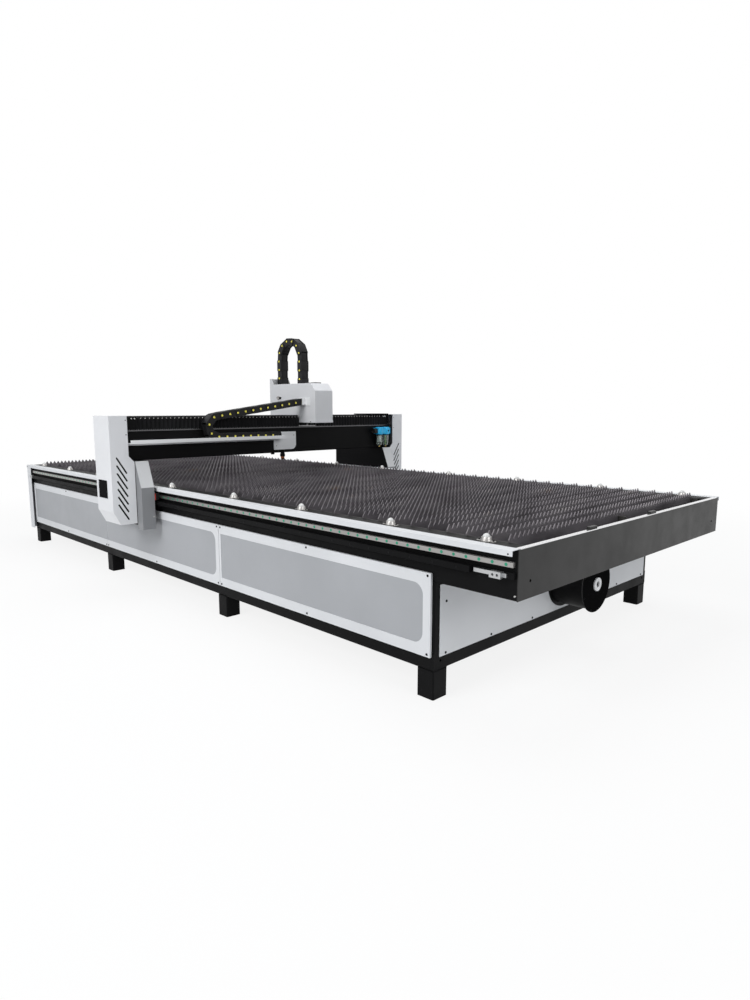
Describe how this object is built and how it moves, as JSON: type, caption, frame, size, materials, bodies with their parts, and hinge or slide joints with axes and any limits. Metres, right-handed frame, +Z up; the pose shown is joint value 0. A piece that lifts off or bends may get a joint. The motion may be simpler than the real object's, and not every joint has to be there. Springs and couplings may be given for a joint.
{
  "type": "cnc plasma cutting table",
  "caption": "Plasma cutting table: slatted bed on a panelled steel frame, travelling gantry with bellows over its beam, cross carriage, motorised torch lift and cable chains.",
  "frame": {"origin": "on the floor under the middle of the machine's outline", "axes": "+X along the table to the end apron, +Y across it to the far side, +Z up"},
  "size_m": [5.198, 2.634, 1.7523],
  "materials": {
    "frame_black": "satin",
    "panel_white": "satin",
    "panel_grey": "satin",
    "graphite_coat": "satin",
    "slat_steel": "matte",
    "rail_steel": "satin",
    "plate_aluminium": "satin",
    "black_aluminium": "satin",
    "motor_black": "satin",
    "ball_nylon": "gloss",
    "chain_black": "matte",
    "bellows_black": "matte",
    "air_blue": "gloss",
    "bowl_clear": "gloss",
    "knob_black": "matte",
    "torch_black": "satin",
    "torch_copper": "satin"
  },
  "bodies": {
    "table": {"legs": "frame_black", "lower_rails": "frame_black", "posts": "frame_black", "side_beam_near": "frame_black", "side_beam_far": "frame_black", "bed_beams": "frame_black", "slat_carriers": "graphite_coat", "slats": "slat_steel", "slag_trays": "graphite_coat", "side_panels": "panel_white", "panel_insets": "panel_grey", "end_panel_front": "panel_white", "end_plate_rear": "panel_white", "end_apron": "graphite_coat", "edge_strips": "panel_white", "x_rails": "rail_steel", "x_racks": "frame_black", "travel_stops": "plate_aluminium", "ball_cups": "rail_steel", "transfer_balls": "ball_nylon", "exhaust_duct": "frame_black", "duct_end_plate": "frame_black", "duct_hub": "panel_white"},
    "gantry": {"gantry_beam": "frame_black", "beam_top_plate": "plate_aluminium", "foot_plate_near": "black_aluminium", "foot_plate_far": "black_aluminium", "foot_covers": "panel_grey", "column_cover_near": "panel_white", "column_cover_far": "panel_white", "service_panels": "motor_black", "x_blocks": "rail_steel", "x_drives": "motor_black", "y_rails": "rail_steel", "y_rack": "rail_steel", "bellows_near": "bellows_black", "bellows_far": "bellows_black", "bellows_mounts": "black_aluminium", "chain_tray": "panel_white", "chain_plate": "panel_white", "y_chain": "chain_black", "air_unit": "air_blue", "air_bowls": "bowl_clear"},
    "carriage": {"carriage_frame": "black_aluminium", "carriage_cover": "panel_white", "y_blocks": "rail_steel", "y_drive": "motor_black", "chain_bracket": "panel_white", "z_rails": "rail_steel", "z_motor": "motor_black", "z_chain": "chain_black"},
    "lift": {"z_plate": "black_aluminium", "torch_clamp": "black_aluminium", "torch_body": "torch_black", "torch_nozzle": "torch_copper"},
    "x_pinion_near": {"x_pinion_near": "rail_steel"},
    "x_pinion_far": {"x_pinion_far": "rail_steel"},
    "air_knob": {"air_knob": "knob_black"},
    "y_pinion": {"y_pinion": "rail_steel"},
    "z_screw": {"z_screw": "rail_steel"}
  },
  "joints": [
    {"name": "gantry_travel", "type": "slide", "parent": "table", "child": "gantry", "axis": [1, 0, 0], "range_m": [-1.7, 2.45]},
    {"name": "pinion_near_turn", "type": "hinge", "parent": "gantry", "child": "x_pinion_near", "pos_m": [-0.256, -1.047, 0.5627], "axis": [0, 1, 0], "continuous": true},
    {"name": "pinion_far_turn", "type": "hinge", "parent": "gantry", "child": "x_pinion_far", "pos_m": [-0.256, 1.047, 0.5627], "axis": [0, 1, 0], "continuous": true},
    {"name": "knob_turn", "type": "hinge", "parent": "gantry", "child": "air_knob", "pos_m": [-0.157, 0.997, 1.016], "axis": [0, 1, 0], "range_deg": [-720, 720]},
    {"name": "carriage_travel", "type": "slide", "parent": "gantry", "child": "carriage", "axis": [0, 1, 0], "range_m": [-1.13, 0.55], "deforming": ["bellows_near", "bellows_far", "y_chain"]},
    {"name": "y_pinion_turn", "type": "hinge", "parent": "carriage", "child": "y_pinion", "pos_m": [-0.2747, 0.293, 1.088], "axis": [0, 0, 1], "continuous": true},
    {"name": "torch_lift", "type": "slide", "parent": "carriage", "child": "lift", "axis": [0, 0, 1], "range_m": [-0.045, 0.095], "deforming": ["z_chain"]},
    {"name": "screw_turn", "type": "hinge", "parent": "carriage", "child": "z_screw", "pos_m": [-0.482, 0.293, 1], "axis": [0, 0, 1], "continuous": true}
  ],
  "couplings": [
    {"joint": "pinion_near_turn", "follows": "gantry_travel", "rad_per_m": -41.667},
    {"joint": "pinion_far_turn", "follows": "gantry_travel", "rad_per_m": -41.667},
    {"joint": "y_pinion_turn", "follows": "carriage_travel", "rad_per_m": 47.619},
    {"joint": "screw_turn", "follows": "torch_lift", "rad_per_m": 628.32}
  ]
}
